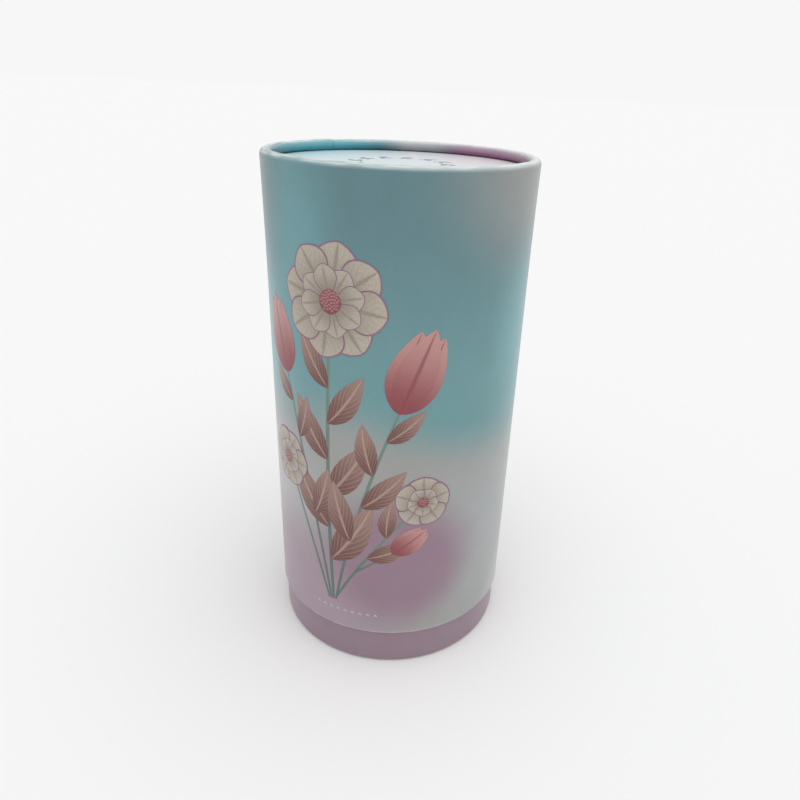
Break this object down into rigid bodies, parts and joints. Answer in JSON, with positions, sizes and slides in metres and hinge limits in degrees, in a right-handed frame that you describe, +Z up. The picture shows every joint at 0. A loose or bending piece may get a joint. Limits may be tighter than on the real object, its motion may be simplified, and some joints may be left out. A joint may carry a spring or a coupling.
{
  "type": "cylindrical gift tube box",
  "caption": "Telescoping round paper tube box: a printed sleeve with a rolled rim and a recessed disc lifts off a plain base tube with a rolled foot.",
  "frame": {"origin": "on the table, under the middle of the box", "axes": "+Z up along the axis of the tube, the way the lid lifts; -Y towards the picture's viewer, +X to their right"},
  "size_m": [0.1, 0.1, 0.2],
  "materials": {
    "printed_paper": "satin",
    "lilac_paper": "satin",
    "disc_print": "satin",
    "white_lining": "matte",
    "wound_board": "matte",
    "disc_board": "matte"
  },
  "bodies": {
    "base": {"base_tube": "wound_board", "base_wrap": "lilac_paper", "base_lining": "white_lining", "base_disc": "disc_board", "base_disc_cover": "white_lining", "base_floor_lining": "white_lining"},
    "lid": {"lid_tube": "wound_board", "lid_wrap": "printed_paper", "lid_lining": "white_lining", "lid_disc": "disc_board", "lid_disc_print": "disc_print", "lid_disc_lining": "white_lining"}
  },
  "joints": [
    {"name": "lid_lift", "type": "slide", "parent": "base", "child": "lid", "axis": [0, 0, 1], "range_m": [0, 0.19]}
  ]
}
